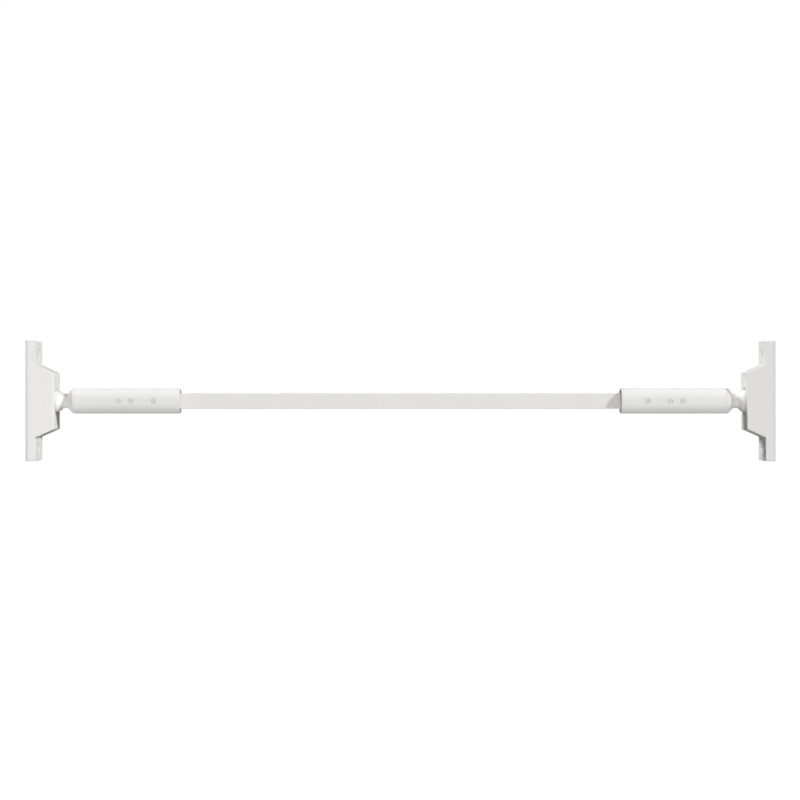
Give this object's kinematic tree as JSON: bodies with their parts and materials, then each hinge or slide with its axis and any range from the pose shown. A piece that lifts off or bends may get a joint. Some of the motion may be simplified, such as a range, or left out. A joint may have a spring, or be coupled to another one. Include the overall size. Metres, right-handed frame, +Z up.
{
  "type": "doorway pull-up bar",
  "caption": "Doorway pull-up bar: a rectangular bar slides in round sleeves, each on a ball joint in a screwed wall bracket with a rubber pad.",
  "frame": {"origin": "middle of the bar, half way between the two wall faces and on the axis of the tubes", "axes": "+X along the bar to the right-hand wall, +Z up, +Y from the front, where the lock screws are, to the back"},
  "size_m": [0.946, 0.05, 0.152],
  "materials": {
    "white_paint": "satin warm white powder coat on steel tube",
    "white_ball": "gloss warm white coat on the turned ball and neck",
    "white_screw": "white coated lock screws and wall screws",
    "white_moulding": "warm white satin moulding",
    "pad_rubber": "matt off-white rubber",
    "nylon": "natural nylon",
    "grey_nylon": "grey nylon",
    "zinc_steel": "zinc plated"
  },
  "bodies": {
    "bar": {"centre_bar": "white_paint", "left_bar_glide": "nylon", "right_bar_glide": "nylon"},
    "left_sleeve": {"left_sleeve_tube": "white_paint", "left_guide_bush": "grey_nylon", "left_nut_strip": "zinc_steel", "left_end_plug": "white_paint", "left_lock_screw_inner": "white_screw", "left_lock_screw_middle": "white_screw", "left_lock_screw_outer": "white_screw", "left_thrust_washer": "zinc_steel"},
    "left_stud": {"left_ball_stud": "white_ball", "left_retaining_clip": "zinc_steel"},
    "left_liner": {"left_ball_liner": "nylon"},
    "left_bracket": {"left_bracket_housing": "white_moulding", "left_pressure_cup": "nylon", "left_disc_spring": "zinc_steel", "left_retainer_plate": "zinc_steel", "left_retainer_screw_upper": "zinc_steel", "left_retainer_screw_lower": "zinc_steel", "left_wall_pad": "pad_rubber", "left_wall_screw_upper": "white_screw", "left_wall_screw_lower": "white_screw"},
    "right_sleeve": {"right_sleeve_tube": "white_paint", "right_guide_bush": "grey_nylon", "right_nut_strip": "zinc_steel", "right_end_plug": "white_paint", "right_lock_screw_inner": "white_screw", "right_lock_screw_middle": "white_screw", "right_lock_screw_outer": "white_screw", "right_thrust_washer": "zinc_steel"},
    "right_stud": {"right_ball_stud": "white_ball", "right_retaining_clip": "zinc_steel"},
    "right_liner": {"right_ball_liner": "nylon"},
    "right_bracket": {"right_bracket_housing": "white_moulding", "right_pressure_cup": "nylon", "right_disc_spring": "zinc_steel", "right_retainer_plate": "zinc_steel", "right_retainer_screw_upper": "zinc_steel", "right_retainer_screw_lower": "zinc_steel", "right_wall_pad": "pad_rubber", "right_wall_screw_upper": "white_screw", "right_wall_screw_lower": "white_screw"}
  },
  "joints": [
    {"name": "left_sleeve_slide", "type": "slide", "parent": "bar", "child": "left_sleeve", "axis": [-1, 0, 0], "range_m": [-0.008, 0.034]},
    {"name": "left_stud_spin", "type": "hinge", "parent": "left_sleeve", "child": "left_stud", "pos_m": [-0.442, 0, 0], "axis": [1, 0, 0], "continuous": true},
    {"name": "left_ball_yaw", "type": "hinge", "parent": "left_stud", "child": "left_liner", "pos_m": [-0.442, 0, 0], "axis": [0, 0, 1], "range_deg": [-20, 20]},
    {"name": "left_ball_pitch", "type": "hinge", "parent": "left_liner", "child": "left_bracket", "pos_m": [-0.442, 0, 0], "axis": [0, 1, 0], "range_deg": [-20, 20]},
    {"name": "right_sleeve_slide", "type": "slide", "parent": "bar", "child": "right_sleeve", "axis": [1, 0, 0], "range_m": [-0.008, 0.034]},
    {"name": "right_stud_spin", "type": "hinge", "parent": "right_sleeve", "child": "right_stud", "pos_m": [0.442, 0, 0], "axis": [1, 0, 0], "continuous": true},
    {"name": "right_ball_yaw", "type": "hinge", "parent": "right_stud", "child": "right_liner", "pos_m": [0.442, 0, 0], "axis": [0, 0, 1], "range_deg": [-20, 20]},
    {"name": "right_ball_pitch", "type": "hinge", "parent": "right_liner", "child": "right_bracket", "pos_m": [0.442, 0, 0], "axis": [0, 1, 0], "range_deg": [-20, 20]}
  ]
}
